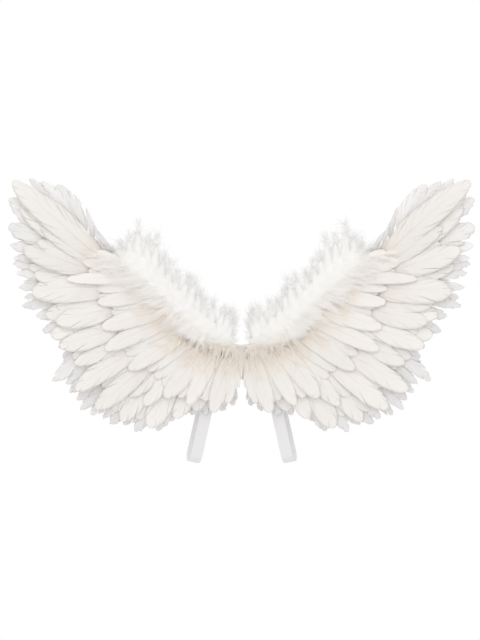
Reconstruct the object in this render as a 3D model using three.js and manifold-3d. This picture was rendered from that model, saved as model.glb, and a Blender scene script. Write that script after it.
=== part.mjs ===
// Costume wings: two mirrored wings of layered white feathers on one ribbon-wrapped wire bow, with a
// marabou trim along the inner leading edges and an elastic arm strap behind each wing.
// Millimetres, +Z up. The wearer's back is on the +Y side, and the feathers show on the -Y side.
// The origin is on the rear of the bow, at its middle.

import * as THREE from "three";
import { mergeVertices } from "three/addons/utils/BufferGeometryUtils.js";
import Module from "manifold-3d";

const wasm = await Module();
wasm.setup();

// Driving dimensions
const HALF_SPAN = 300; // middle to wing tip
const TIP_SWEEP = 36; // how far the wing tips curve away from the wearer
const GAP = 0.3; // clearance between pieces that lie on each other
const BOW_DIAMETER = 7;
const FELT_THICKNESS = 2;
const TAPE_WIDTH = 6; // the sewn tape that holds the quills of one row
const TAPE_THICKNESS = 1.6;
const ROW_STEP = 3.8; // how far each row of feathers lies in front of the row behind it
const FEATHER_THICKNESS = 0.8;
const QUILL_WIDTH = 2.4;
const STRAP_WIDTH = 15;
const STRAP_THICKNESS = 1.5;
const STRAP_LENGTH = 154; // of the hanging loop
const STRAP_DEPTH = 24; // across the loop, front to back
const STRAP_TOP = { out: 34, up: -2 };
const STRAP_TILT = THREE.MathUtils.degToRad(12.5); // the loop hangs outward
const STRAP_SKEW = 0.27; // the rear ply stands outside the front ply

// Depths of the layers, from the rear of the bow to the front
const FELT_REAR = BOW_DIAMETER + GAP;
const FELT_FRONT = FELT_REAR + FELT_THICKNESS;
const TAPE_REAR = FELT_FRONT + GAP;
const ROOT_DEPTH = TAPE_REAR + TAPE_THICKNESS / 2;

// The vane of a feather: half widths grow along the shaft and close in a round tip
const VANE_TAPER = 0.5;
const VANE_BLUNTNESS = 3.5;
const VANE_WIDEST = 0.711; // the largest value of the outline formula
const VANE_ARCH = 1.2; // the shaft's rise at the middle
const VANE_ROLL = 0.08; // slope across the vane, so that neighbours shingle
const VANE_CAMBER = 0.6; // the edges' drop behind the shaft
const SHINGLE_TURN = 0.4; // the outward share of a feather's heading where the lap turns over
const SHINGLE_GAIN = 2; // how soon the lap is full on either side of that

// The smoothness of curved pieces
const BOW_SIDES = 8;
const BOW_STEPS = 36;
const TAPE_STEPS = 18;
const STRAP_ARC_STEPS = 6;
const LOCK_SIDES = 5;
const BOW_SEARCH_STEP = 1e-4; // how closely a place on the bow is found, as a share of its line

// Rows of numbers as objects with named columns
function table(columns, rows) {
  const names = columns.split(" ");
  return rows.map((row) => Object.fromEntries(names.map((name, i) => [name, row[i]])));
}

// The bow from the middle to the end of one arm
const BOW_LINE = table("out up", [
  [0, 0],
  [26, 6.5],
  [48, 18],
  [88, 50],
  [120, 80],
  [155, 108],
  [186, 133],
  [220, 163],
]);

// The felt panel of a wing: its top and bottom edges at stations out from the middle
const FELT_EDGES = table("out top bottom", [
  [0.2, -5.5, -42],
  [20, -1, -47],
  [40, 9, -52],
  [62, 28, -57],
  [92, 54, -61],
  [122, 82, -57],
  [146, 101, -46],
  [166, 117, -30],
  [184, 131, -8],
  [198, 143, 16],
  [212, 156, 42],
  [222, 164, 68],
  [232, 172, 106],
  [240, 176, 140],
]);

// The rows of feathers, from the rear to the front. A row's quills are sewn along its root line.
// A feather starts `at` that percentage of the line and ends with its tip at `out`, `up`.
const FEATHER_ROWS = [
  {
    name: "under_feathers",
    level: 0,
    rise: 20,
    stations: [0, 0.6, 0.93, 1],
    color: 0xdedddb,
    rootLine: table("out up", [
      [163, 113],
      [190, 136],
      [214, 152],
      [226, 146],
      [231, 128],
      [222, 78],
      [198, 26],
      [166, -20],
      [122, -50],
      [92, -54],
      [62, -50],
      [8, -36],
    ]),
    feathers: table("at out up width", [
      [1, 188, 153, 12],
      [6, 197, 169, 9],
      [9, 204, 184, 12],
      [12, 241, 213, 29],
      [14, 260, 217, 20],
      [16, 276, 220, 22],
      [20, 302, 194, 30],
      [22, 303, 158, 32],
      [24, 301, 133, 20],
      [26, 297, 116, 16],
      [28, 297, 109, 20],
      [31, 293, 97, 16],
      [33, 290, 78, 16],
      [36, 283, 65, 16],
      [38, 286, 54, 17],
      [41, 268, 41, 18],
      [44, 260, 21, 20],
      [47, 239, -1, 18],
      [50, 234, -14, 17],
      [52, 235, -25, 17],
      [54, 247, -44, 20],
      [57, 230, -48, 17],
      [59, 225, -59, 20],
      [62, 216, -69, 20],
      [64, 212, -82, 17],
      [67, 198, -89, 20],
      [70, 182, -94, 18],
      [73, 173, -101, 20],
      [76, 156, -102, 20],
      [80, 141, -111, 22],
      [84, 112, -111, 20],
      [87, 97, -98, 20],
      [91, 67, -90, 20],
      [93, 48, -90, 19],
      [96, 26, -85, 19],
      [99, 12, -78, 16],
    ]),
  },
  {
    name: "lower_flight_feathers",
    level: 1,
    rise: 20,
    stations: [0, 0.3, 0.75, 0.94, 1],
    color: 0xefece8,
    rootLine: table("out up", [
      [199, 125],
      [202, 108],
      [198, 88],
      [182, 46],
      [156, 0],
      [138, -18],
      [114, -30],
      [90, -35],
      [66, -33],
      [18, -22],
    ]),
    feathers: table("at out up width", [
      [0, 291, 203, 24],
      [4, 286, 185, 28],
      [14, 276, 106, 20],
      [25, 255, 41, 24],
      [35, 249, 16, 24],
      [43, 221, -13, 20],
      [50, 204, -26, 20],
      [68, 158, -97, 24],
      [77, 122, -106, 28],
      [87, 88, -94, 22],
      [94, 62, -84, 20],
      [99, 30, -82, 20],
    ]),
  },
  {
    name: "upper_flight_feathers",
    level: 2,
    rise: 30,
    stations: [0, 0.3, 0.75, 0.94, 1],
    color: 0xf5f2ee,
    rootLine: table("out up", [
      [170, 102],
      [176, 94],
      [160, 74],
      [148, 54],
      [142, 32],
      [122, 2],
      [102, -12],
      [62, -15],
    ]),
    feathers: table("at out up width", [
      [0, 296, 216, 30],
      [4, 260, 157, 22],
      [7, 283, 128, 30],
      [20, 272, 72, 36],
      [33, 241, 33, 30],
      [45, 237, 1, 26],
      [66, 217, -56, 26],
      [78, 191, -80, 27],
      [95, 128, -76, 23],
    ]),
  },
  {
    name: "covert_feathers",
    level: 3,
    rise: 20,
    stations: [0, 0.3, 0.75, 0.94, 1],
    color: 0xf8f5f2,
    rootLine: table("out up", [
      [136, 92],
      [112, 66],
      [85, 32],
      [68, 14],
      [48, 2],
      [26, -4],
      [5, -8],
    ]),
    feathers: table("at out up width", [
      [1, 228, 89, 16],
      [8, 196, 76, 16],
      [16, 188, 59, 20],
      [25, 176, 43, 20],
      [33, 183, 26, 24],
      [42, 179, -3, 24],
      [49, 158, -13, 22],
      [56, 148, -29, 24],
      [67, 119, -44, 24],
      [76, 101, -66, 27],
      [85, 70, -76, 22],
      [91, 52, -76, 23],
      [96, 38, -86, 24],
      [98, 19, -74, 18],
      [100, 4, -54, 7],
    ]),
  },
];

// The marabou trim: where each section starts on the bow, and where its crest lies
const MARABOU_SECTIONS = table("bowOut crestOut crestUp", [
  [10, 10, 12],
  [26, 20, 26],
  [46, 37, 37],
  [66, 57, 52],
  [86, 75, 71],
  [104, 92, 91],
  [120, 108, 111],
  [136, 126, 125],
  [150, 144, 130],
  [162, 158, 124],
]);
// A section of the trim in steps from the bow to the crest, with the depth at each corner.
// It lies over the bow and hangs in front of the quills below the bow.
const MARABOU_PROFILE = table("reach depth", [
  [-1, 17.5],
  [0, 17.5],
  [0, 1],
  [0.5, -4],
  [1, 5],
  [1, 12],
  [0.5, 23],
  [0, 27],
  [-1, 23],
]);
const MARABOU_OVERHANG = 6; // below the bow
const MARABOU_SEAT = BOW_DIAMETER / 2 + GAP;
// Locks that stand out of the trim, from a place on the bow to a tip, in turns to the rear and front
const MARABOU_LOCKS = table("bowOut out up width", [
  [22, 8, 44, 10],
  [28, 12, 53, 16],
  [36, 22, 54, 20],
  [46, 36, 62, 22],
  [56, 46, 66, 24],
  [66, 54, 78, 24],
  [76, 60, 94, 24],
  [86, 69, 97, 24],
  [96, 83, 102, 24],
  [105, 92, 115, 24],
  [114, 101, 126, 24],
  [122, 109, 150, 26],
  [130, 122, 150, 26],
  [140, 136, 167, 26],
  [150, 148, 150, 22],
  [158, 158, 138, 16],
]);
const LOCK_DEPTH = 14;
const LOCK_MIDDLE = { reach: 0.6, size: 0.85 };
const LOCK_LAYERS = [5, 13]; // depths of the locks
const LOCK_ROOT = 14; // from the bow

const MATERIALS = {
  ribbon: new THREE.MeshStandardMaterial({ color: 0xfaf7f0, roughness: 0.7, metalness: 0 }),
  felt: new THREE.MeshStandardMaterial({ color: 0xf2f0ec, roughness: 0.95, metalness: 0 }),
  marabou: new THREE.MeshStandardMaterial({ color: 0xf4f4f3, roughness: 0.9, metalness: 0 }),
  elastic: new THREE.MeshStandardMaterial({ color: 0xe8e6e8, roughness: 0.8, metalness: 0 }),
};

// A point of the left wing: out from the middle, up, and depth from the rear of the bow to the front
function place(out, up, depth) {
  const sweep = TIP_SWEEP * (out / HALF_SPAN) ** 2;
  return new THREE.Vector3(-out, -depth - sweep, up);
}

function curveThrough(points) {
  return new THREE.CatmullRomCurve3(points.map((point) => new THREE.Vector3(point.out, point.up, 0)));
}

// Six times the volume of a closed mesh, negative if its faces point inward
function signedVolume(points, faces) {
  const volumeOf = ([a, b, c]) => points[a].dot(new THREE.Vector3().crossVectors(points[b], points[c]));
  return faces.reduce((sum, face) => sum + volumeOf(face), 0);
}

function closedMesh(points, faces) {
  const inward = signedVolume(points, faces) < 0;
  const order = inward ? faces.map(([a, b, c]) => [a, c, b]) : faces;
  const geometry = new THREE.BufferGeometry().setFromPoints(points);
  geometry.setIndex(order.flat());
  return geometry;
}

// The faces between two rings of a loft, the second of which may be a single point
function bandFaces(first, second, count, pointed) {
  const faces = [];
  for (let i = 0; i < count; i += 1) {
    const next = (i + 1) % count;
    if (pointed) {
      faces.push([first + i, first + next, second]);
    } else {
      faces.push([first + i, first + next, second + next]);
      faces.push([first + i, second + next, second + i]);
    }
  }
  return faces;
}

function fan(count) {
  return Array.from({ length: count - 2 }, (_, i) => [0, i + 1, i + 2]);
}

// A closed body through rings of points, all the same way round. The last ring may be one point.
function loft(rings, capFaces = fan(rings[0].length)) {
  const count = rings[0].length;
  const pointed = rings.at(-1).length === 1;
  const faces = capFaces.map(([a, b, c]) => [a, c, b]);
  for (let k = 1; k < rings.length; k += 1) {
    const closing = pointed && k === rings.length - 1;
    faces.push(...bandFaces((k - 1) * count, k * count, count, closing));
  }
  if (!pointed) {
    const last = (rings.length - 1) * count;
    faces.push(...capFaces.map((face) => face.map((i) => i + last)));
  }
  return closedMesh(rings.flat(), faces);
}

function toSolid(geometry) {
  const bare = geometry.clone();
  bare.deleteAttribute("normal");
  bare.deleteAttribute("uv");
  const merged = mergeVertices(bare);
  const mesh = new wasm.Mesh({
    numProp: 3,
    vertProperties: new Float32Array(merged.attributes.position.array),
    triVerts: new Uint32Array(merged.index.array),
  });
  return new wasm.Manifold(mesh);
}

// One body from several that overlap, with any pocket that they close in filled
function fuse(geometries) {
  const whole = geometries.map(toSolid).reduce((joined, next) => joined.add(next));
  const shells = whole.decompose().sort((first, second) => second.volume() - first.volume());
  const mesh = shells[0].getMesh();
  const geometry = new THREE.BufferGeometry();
  geometry.setAttribute("position", new THREE.BufferAttribute(mesh.vertProperties, mesh.numProp));
  geometry.setIndex(new THREE.BufferAttribute(mesh.triVerts, 1));
  return geometry;
}

function named(name, geometry, material) {
  geometry.computeVertexNormals();
  const mesh = new THREE.Mesh(geometry, material);
  mesh.name = name;
  return mesh;
}

function bow() {
  const depth = BOW_DIAMETER / 2;
  const mirrored = ({ x, y, z }) => new THREE.Vector3(-x, y, z);
  const left = BOW_LINE.map((point) => place(point.out, point.up, depth));
  const right = left.slice(1).map(mirrored);
  const path = new THREE.CatmullRomCurve3([...left.reverse(), ...right]);
  const section = new THREE.Shape();
  for (let i = 0; i < BOW_SIDES; i += 1) {
    const angle = (2 * Math.PI * (i + 0.5)) / BOW_SIDES;
    const corner = [(BOW_DIAMETER / 2) * Math.cos(angle), (BOW_DIAMETER / 2) * Math.sin(angle)];
    if (i === 0) {
      section.moveTo(...corner);
    } else {
      section.lineTo(...corner);
    }
  }
  return new THREE.ExtrudeGeometry(section, { steps: BOW_STEPS, extrudePath: path });
}

function backing() {
  const rings = FELT_EDGES.map(({ out, top, bottom }) => [
    place(out, top, FELT_FRONT),
    place(out, bottom, FELT_FRONT),
    place(out, bottom, FELT_REAR),
    place(out, top, FELT_REAR),
  ]);
  return loft(rings);
}

// The tape along a row's roots
function quillTape(rootLine) {
  const rings = [];
  for (let i = 0; i <= TAPE_STEPS; i += 1) {
    const centre = rootLine.getPointAt(i / TAPE_STEPS);
    const way = rootLine.getTangentAt(i / TAPE_STEPS);
    const side = new THREE.Vector3(-way.y, way.x, 0).multiplyScalar(TAPE_WIDTH / 2);
    const corner = (sign, depth) => place(centre.x + sign * side.x, centre.y + sign * side.y, depth);
    const front = TAPE_REAR + TAPE_THICKNESS;
    rings.push([corner(-1, TAPE_REAR), corner(1, TAPE_REAR), corner(1, front), corner(-1, front)]);
  }
  return loft(rings);
}

function halfWidth(width, s) {
  const outline = (s ** VANE_TAPER * Math.sqrt(1 - s ** VANE_BLUNTNESS)) / VANE_WIDEST;
  return Math.max(QUILL_WIDTH / 2, (width / 2) * outline);
}

// Feathers that point outward lie over the next one below, and those that point down lie under it
function shingleSlope(outward) {
  return VANE_ROLL * THREE.MathUtils.clamp(SHINGLE_GAIN * (outward - SHINGLE_TURN), -1, 1);
}

// A thin lens-shaped blade from the row's tape up to the row's level and out to the tip
function feather(row, rootLine, { at, out, up, width }) {
  const root = rootLine.getPointAt(at / 100);
  const shaft = new THREE.Vector3(out - root.x, up - root.y, 0);
  const length = shaft.length();
  const way = shaft.clone().normalize();
  const across = new THREE.Vector3(way.y, -way.x, 0);
  const slope = shingleSlope(way.x);
  const point = (s, offset, lift) => {
    const rise = row.level * ROW_STEP * THREE.MathUtils.smoothstep(s * length, 0, row.rise);
    const depth = ROOT_DEPTH + rise + VANE_ARCH * Math.sin(Math.PI * s) + slope * offset + lift;
    const foot = root.clone().addScaledVector(shaft, s).addScaledVector(across, offset);
    return place(foot.x, foot.y, depth);
  };
  const rings = row.stations.map((s) => {
    if (s === 1) {
      return [point(s, 0, 0)];
    }
    const half = halfWidth(width, s);
    const drop = VANE_CAMBER * Math.sin(Math.PI * s);
    return [
      point(s, -half, -drop),
      point(s, 0, FEATHER_THICKNESS / 2),
      point(s, half, -drop),
      point(s, 0, -FEATHER_THICKNESS / 2),
    ];
  });
  return loft(rings);
}

function featherRow(row) {
  const rootLine = curveThrough(row.rootLine);
  const blades = row.feathers.map((shape) => feather(row, rootLine, shape));
  return fuse([quillTape(rootLine), ...blades]);
}

// The place on the bow at a distance out from the middle, and the way up from the bow there
function onBow(bowLine, out) {
  let low = 0;
  let high = 1;
  while (high - low > BOW_SEARCH_STEP) {
    const middle = (low + high) / 2;
    if (bowLine.getPoint(middle).x < out) {
      low = middle;
    } else {
      high = middle;
    }
  }
  const way = bowLine.getTangent(low);
  return { point: bowLine.getPoint(low), normal: new THREE.Vector3(-way.y, way.x, 0) };
}

function marabouBody(bowLine) {
  const rings = MARABOU_SECTIONS.map(({ bowOut, crestOut, crestUp }) => {
    const { point, normal } = onBow(bowLine, bowOut);
    const seat = point.clone().addScaledVector(normal, MARABOU_SEAT);
    const below = point.clone().addScaledVector(normal, -MARABOU_OVERHANG);
    const crest = new THREE.Vector3(crestOut, crestUp, 0);
    return MARABOU_PROFILE.map(({ reach, depth }) => {
      const foot = seat.clone().lerp(reach < 0 ? below : crest, Math.abs(reach));
      return place(foot.x, foot.y, depth);
    });
  });
  const outline = MARABOU_PROFILE.map(({ reach, depth }) => new THREE.Vector2(reach, depth));
  return loft(rings, THREE.ShapeUtils.triangulateShape(outline, []));
}

function marabouLock(bowLine, { bowOut, out, up, width }, layer) {
  const { point, normal } = onBow(bowLine, bowOut);
  const root = point.clone().addScaledVector(normal, LOCK_ROOT);
  const shaft = new THREE.Vector3(out, up, 0).sub(root);
  const across = new THREE.Vector3(-shaft.y, shaft.x, 0).normalize();
  const ring = (reach, size) =>
    Array.from({ length: LOCK_SIDES }, (_, i) => {
      const angle = (2 * Math.PI * i) / LOCK_SIDES;
      const sideways = (size * width * Math.cos(angle)) / 2;
      const foot = root.clone().addScaledVector(shaft, reach).addScaledVector(across, sideways);
      return place(foot.x, foot.y, layer + (size * LOCK_DEPTH * Math.sin(angle)) / 2);
    });
  return loft([ring(0, 1), ring(LOCK_MIDDLE.reach, LOCK_MIDDLE.size), [place(out, up, layer)]]);
}

function marabouTrim() {
  const bowLine = curveThrough(BOW_LINE);
  const locks = MARABOU_LOCKS.map((lock, i) => marabouLock(bowLine, lock, LOCK_LAYERS[i % 2]));
  return fuse([marabouBody(bowLine), ...locks]);
}

// The outline of the strap's loop from the side, with round ends
function loopOutline(path, radius) {
  const straight = STRAP_LENGTH - STRAP_DEPTH;
  path.absarc(0, 0, radius, 0, Math.PI, false);
  path.absarc(0, -straight, radius, Math.PI, 2 * Math.PI, false);
  path.closePath();
  return path;
}

function strap() {
  const outline = loopOutline(new THREE.Shape(), STRAP_DEPTH / 2);
  outline.holes.push(loopOutline(new THREE.Path(), STRAP_DEPTH / 2 - STRAP_THICKNESS));
  const band = { depth: STRAP_WIDTH, bevelEnabled: false, curveSegments: STRAP_ARC_STEPS };
  const loop = new THREE.ExtrudeGeometry(outline, band);
  // The outline's own X runs front to back, its Y runs up, and the band is as wide as X
  const standing = new THREE.Matrix4().set(0, 0, 1, -STRAP_WIDTH / 2, 1, 0, 0, 0, 0, 1, 0, 0, 0, 0, 0, 1);
  const skewed = new THREE.Matrix4().makeShear(0, 0, -STRAP_SKEW, 0, 0, 0);
  loop.applyMatrix4(standing);
  loop.applyMatrix4(skewed);
  loop.rotateY(STRAP_TILT);
  return loop;
}

function hungStrap(name) {
  const mesh = named(name, strap(), MATERIALS.elastic);
  const frontPly = -FELT_REAR + GAP;
  const radius = STRAP_DEPTH / 2;
  mesh.position.set(-STRAP_TOP.out, frontPly + radius, STRAP_TOP.up - radius);
  return mesh;
}

function wing(side) {
  const group = new THREE.Group();
  group.add(named(`${side}_backing`, backing(), MATERIALS.felt));
  for (const row of FEATHER_ROWS) {
    const material = new THREE.MeshStandardMaterial({ color: row.color, roughness: 0.75, metalness: 0 });
    group.add(named(`${side}_${row.name}`, featherRow(row), material));
  }
  group.add(named(`${side}_marabou_trim`, marabouTrim(), MATERIALS.marabou));
  group.add(hungStrap(`${side}_strap`));
  return group;
}

const wings = new THREE.Group();
wings.add(named("frame_bow", bow(), MATERIALS.ribbon));
wings.add(wing("left"));
const rightWing = wing("right");
rightWing.scale.x = -1;
wings.add(rightWing);

export default wings;
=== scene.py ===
import math

import bpy
import numpy as np
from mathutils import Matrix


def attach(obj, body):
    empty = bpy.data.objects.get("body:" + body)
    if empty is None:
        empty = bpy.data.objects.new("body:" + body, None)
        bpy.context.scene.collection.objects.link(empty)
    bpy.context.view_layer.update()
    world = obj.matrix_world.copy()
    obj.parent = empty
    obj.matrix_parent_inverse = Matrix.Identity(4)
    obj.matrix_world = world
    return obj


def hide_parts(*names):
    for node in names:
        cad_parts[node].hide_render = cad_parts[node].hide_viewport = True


# Sizes are in millimetres, as in the CAD part, and turn into metres where a point is placed.
MM = 0.001
SEED = 20
LEFT = -1
RIGHT = 1
SIDES = {"left": LEFT, "right": RIGHT}

# The wing's form, the same as the part's
HALF_SPAN = 300
TIP_SWEEP = 36
BOW_DIAMETER = 7
FELT_REAR = 7.3
FELT_FRONT = 9.3
TAPE_REAR = 9.6
TAPE_FRONT = 11.2
TAPE_WIDTH = 6
ROOT_DEPTH = 10.4
ROW_STEP = 3.8

BOW_LINE = [(0, 0), (26, 6.5), (48, 18), (88, 50), (120, 80), (155, 108), (186, 133), (220, 163)]

# The felt panel: distance out, and its top and bottom there
FELT_EDGES = [
    (0.2, -5.5, -42), (20, -1, -47), (40, 9, -52), (62, 28, -57), (92, 54, -61), (122, 82, -57),
    (146, 101, -46), (166, 117, -30), (184, 131, -8), (198, 143, 16), (212, 156, 42),
    (222, 164, 68), (232, 172, 106), (240, 176, 140),
]

# The tints of the tape and of plain cloth
TAPE_TINT = (0.95, 0.6, 0)
PLAIN_TINT = (1, 0, 0)

# The rows of feathers from the rear to the front. A feather is the share of the root line in percent
# where it starts, its tip as distance out and up, and its width.
ROWS = {
    "under_feathers": {
        "level": 0,
        "rise": 20,
        "root_line": [
            (163, 113), (190, 136), (214, 152), (226, 146), (231, 128), (222, 78), (198, 26),
            (166, -20), (122, -50), (92, -54), (62, -50), (8, -36),
        ],
        "feathers": [
            (1, 188, 153, 12), (6, 197, 169, 9), (9, 204, 184, 12), (12, 241, 213, 29),
            (14, 260, 217, 20), (16, 276, 220, 22), (20, 302, 194, 30), (22, 303, 158, 32),
            (24, 301, 133, 20), (26, 297, 116, 16), (28, 297, 109, 20), (31, 293, 97, 16),
            (33, 290, 78, 16), (36, 283, 65, 16), (38, 286, 54, 17), (41, 268, 41, 18),
            (44, 260, 21, 20), (47, 239, -1, 18), (50, 234, -14, 17), (52, 235, -25, 17),
            (54, 247, -44, 20), (57, 230, -48, 17), (59, 225, -59, 20), (62, 216, -69, 20),
            (64, 212, -82, 17), (67, 198, -89, 20), (70, 182, -94, 18), (73, 173, -101, 20),
            (76, 156, -102, 20), (80, 141, -111, 22), (84, 112, -111, 20), (87, 97, -98, 20),
            (91, 67, -90, 20), (93, 48, -90, 19), (96, 26, -85, 19), (99, 12, -78, 16),
        ],
    },
    "lower_flight_feathers": {
        "level": 1,
        "rise": 20,
        "root_line": [
            (199, 125), (202, 108), (198, 88), (182, 46), (156, 0), (138, -18), (114, -30),
            (90, -35), (66, -33), (18, -22),
        ],
        "feathers": [
            (0, 291, 203, 24), (4, 286, 185, 28), (14, 276, 106, 20), (25, 255, 41, 24),
            (35, 249, 16, 24), (43, 221, -13, 20), (50, 204, -26, 20), (68, 158, -97, 24),
            (77, 122, -106, 28), (87, 88, -94, 22), (94, 62, -84, 20), (99, 30, -82, 20),
        ],
    },
    "upper_flight_feathers": {
        "level": 2,
        "rise": 30,
        "root_line": [
            (170, 102), (176, 94), (160, 74), (148, 54), (142, 32), (122, 2), (102, -12), (62, -15),
        ],
        "feathers": [
            (0, 296, 216, 30), (4, 260, 157, 22), (7, 283, 128, 30), (20, 272, 72, 36),
            (33, 241, 33, 30), (45, 237, 1, 26), (66, 217, -56, 26), (78, 191, -80, 27),
            (95, 128, -76, 23),
        ],
    },
    "covert_feathers": {
        "level": 3,
        "rise": 9,
        "root_line": [
            (136, 92), (112, 66), (85, 32), (68, 14), (48, 2), (26, -4), (5, -8),
        ],
        "feathers": [
            (1, 228, 89, 16), (8, 196, 76, 16), (16, 188, 59, 20), (25, 176, 43, 20),
            (33, 183, 26, 24), (42, 179, -3, 24), (49, 158, -13, 22), (56, 148, -29, 24),
            (67, 119, -44, 24), (76, 101, -66, 27), (85, 70, -76, 22), (91, 52, -76, 23),
            (96, 38, -86, 24), (98, 19, -74, 18), (100, 4, -54, 7),
        ],
    },
}

# How the feathers look, with a value for each row in the order of ROWS
ROW_LOOKS = {
    # Between barbs, in mm
    "barb_step": (2.8, 2.5, 2.4, 2.3),
    # The least and most barbs that cling together, and the columns that neighbours share
    "clump": ((3, 7, 2), (5, 11, 2), (5, 11, 2), (6, 13, 3)),
    # The chance of a gap between clumps, and its width at the edge in mm
    "torn": (0.8, 0.45, 0.36, 0.24),
    "split": ((1.2, 3.2), (0.5, 1.7), (0.5, 1.5), (0.4, 1.2)),
    # The loss of reach at a clump's sides, and how far clumps stand off the vane in mm
    "ragged": (0.15, 0.045, 0.04, 0.03),
    "curl": (0.5, 0.2, 0.18, 0.12),
    # The fall of the vane's edges in mm, and the powers that give it its root, tip and point
    "camber": (1.2, 1.5, 1.5, 1.2),
    "outline": ((0.6, 2.3, 0.75), (0.6, 2.5, 0.6), (0.55, 2.6, 0.58), (0.3, 2.6, 0.52)),
    # A gain on the vane's width, and the roll of its tip
    "wide": (0.98, 1.1, 1.05, 1.0),
    "twist": (0.15, 0.12, 0.1, 0.08),
    # Brightness; its gain on feathers whose tips lie high, which is painted light from above (the upper
    # flights get darker instead); and the painted warm shade at the root, where the feathers overlap.
    # The rear row's lower brightness is painted shade.
    "tone": ((0.89, 0.96), (0.945, 0.985), (0.94, 0.975), (0.94, 0.98)),
    "pale": (0.06, 0, -0.025, 0.03),
    "root_shade": (0.5, 0.8, 0.8, 0.9),
    # Loose barbs at the foot for each mm of half width
    "down": (0, 0, 3, 7),
    # Which feathers lie lower than the rest
    "behind": ((), (), (), (1, 3, 6, 8, 11)),
    # The chance of a shorter feather tucked in beside each one
    "fill": (0.1, 1.0, 1.0, 1.0),
    # Small feathers that close the gap to the next row, given as in ROWS
    "extra": (
        (),
        ((62, 168, -84, 22),),
        (
            (0, 262, 198, 24), (17, 218, 70, 26), (27, 206, 47, 22), (40, 206, 9, 24),
            (52, 196, -2, 22), (60, 192, -24, 22),
        ),
        (
            (0, 188, 126, 18), (2, 206, 112, 18), (4, 200, 100, 20), (46, 150, 0, 22),
            (62, 124, -30, 22), (71, 104, -50, 22), (80, 82, -66, 22),
        ),
    ),
}
LOOKS = {row: {key: values[i] for key, values in ROW_LOOKS.items()} for i, row in enumerate(ROWS)}

# Every vane: its start as a share of the shaft, its form in mm, the slant of its barbs, and its columns
VANE_START = 0.05
VANE_ARCH = 1.2
VANE_ROLL = 0.08
TIP_DROOP = 1.4
VANE_THICKNESS = 0.2
BARB_SLANT = 2.9
ACROSS = 5

# The shafts: their end as a share of the feather, and in mm their lift, taper and radius at the tip
SHAFT_END = 0.985
SHAFT_LIFT = 0.02
SHAFT_TAPER = 0.5
SHAFT_TIP = 0.12
SHAFT_STEPS = 9
SHAFT_SIDES = 5

# The narrow rear feathers, which end in a point
SPIKE_WIDTH = 12
SPIKE_SLIM = 0.65
SPIKE_OUTLINE = (0.8, 1.2, 1.0)

# Feathers tucked in between two others, small extra ones, and those that lie lower than their row
TUCKED_REACH = (0.78, 0.93)
TUCKED_WIDTH = (0.8, 1)
TUCKED_LIFT = -1.5
EXTRA_LIFT = -1.0
BEHIND_REACH = 0.92
BEHIND_LIFT = -1.4

# Loose barbs: at the foot of a feather, and in tufts over the quills from the middle outwards
DOWN_TONE = 1.02
# The share of painted warm shade at the roots of the loose barbs
DOWN_ROOT_SHADE = 0.15
DOWN_RADIUS = 0.13
TUFTS = 160
BARBS_PER_TUFT = 8
TUFT_POINTS = 4
TUFT_RADIUS = 0.2
# The share of painted warm shade at the roots of the tufts
TUFT_ROOT_SHADE = 0.2
FIRST_TUFT = 0.6
TUFT_SPREAD = 125
TUFT_FRONT = 23.2
LONGEST_TUFT = 43
LEAST_OUT = 0.3
RIBBON_FRONT = 8
UNDER_BODY = 8

# The marabou: places on the bow with the trim's crest above them, and the tips of its locks
MARABOU_SECTIONS = [
    (10, 10, 12), (26, 20, 26), (46, 37, 37), (66, 57, 52), (86, 75, 71), (104, 92, 91),
    (120, 108, 111), (136, 126, 125), (150, 144, 130), (162, 158, 124),
]
MARABOU_LOCKS = [
    (22, 8, 44), (28, 12, 53), (36, 22, 54), (46, 36, 62), (56, 46, 66), (66, 54, 78), (76, 60, 94),
    (86, 69, 97), (96, 83, 102), (105, 92, 115), (114, 101, 126), (122, 109, 150), (130, 122, 150),
    (140, 136, 167), (150, 148, 150), (158, 158, 138), (162, 170, 130),
]
# A section of the trim in steps from the bow to the crest, or below the bow, with the depth there
MARABOU_PROFILE = [
    (-1, 17.5), (0, 17.5), (0, 1), (0.5, -4), (1, 5), (1, 12), (0.5, 23), (0, 27), (-1, 23),
]
PROFILE_SCALE = (20, 1)
PROFILE_STEPS = 12
MARABOU_OVERHANG = 6
MARABOU_SEAT = 3.8
MARABOU_DEPTH = 12
BODY_TONE = 0.94
BODY_CREAM = 0.05

# The places on the bow where the trim's body ends, and the share of its form that lies under the hair
TRIM_INNER = 9
TRIM_OUTER = 163
CORE_SHARE = 0.84
HAIR_ROOT = 0.83

# The locks: how far above the bow they start, their size and taper, and their middle depth
LOCK_ROOT = 6
LOCK_RADIUS = 10
LOCK_GIRTH = 0.21
LOCK_TAPER = 0.88
LOCK_DEPTH = 11

# The soft sheet below the bow and the plumes in front of it: their ends on the bow, and their depth
VEIL_ENDS = (7, 168)
VEIL_LENGTH = 23
VEIL_FRONT = 11.5
VEIL_FALL = 3.6
# The veil's share of painted warm shade, for the shaded gaps between the streaks of down
VEIL_WARM_SHADE = 0.7
FRINGE_ENDS = (46, 172)
FRINGE_FRONT = 24.6

# How many hairs there are of each kind on a side
COMBED_HAIRS = 6000
LOCK_HAIRS = 4500
FRINGE_PLUMES = 110
BARBS_PER_PLUME = 45
HAIRS_PER_WISP = 6
STRAYS_PER_LOCK = 16
INNER_CURLS = 70

# The strap's loop, its ribs and its steps
STRAP_WIDTH = 15
STRAP_THICKNESS = 1.5
STRAP_LENGTH = 154
STRAP_DEPTH = 24
STRAP_TOP = (-34, 5, -14)
STRAP_TILT = math.radians(12.5)
STRAP_SKEW = 0.27
STRAP_RIBS = 11
RIB_HEIGHT = 0.1
RIB_INSET = 0.12
EDGE_INSET = 0.25
STRAP_STEPS = 240

# The ribbon round the wire: the length of a turn, its lap, and the mesh
RIBBON_PITCH = 9.0
RIBBON_INSET = 0.45
RIBBON_LAP = 0.4
BOW_STEPS = 420
BOW_SIDES = 28

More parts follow.
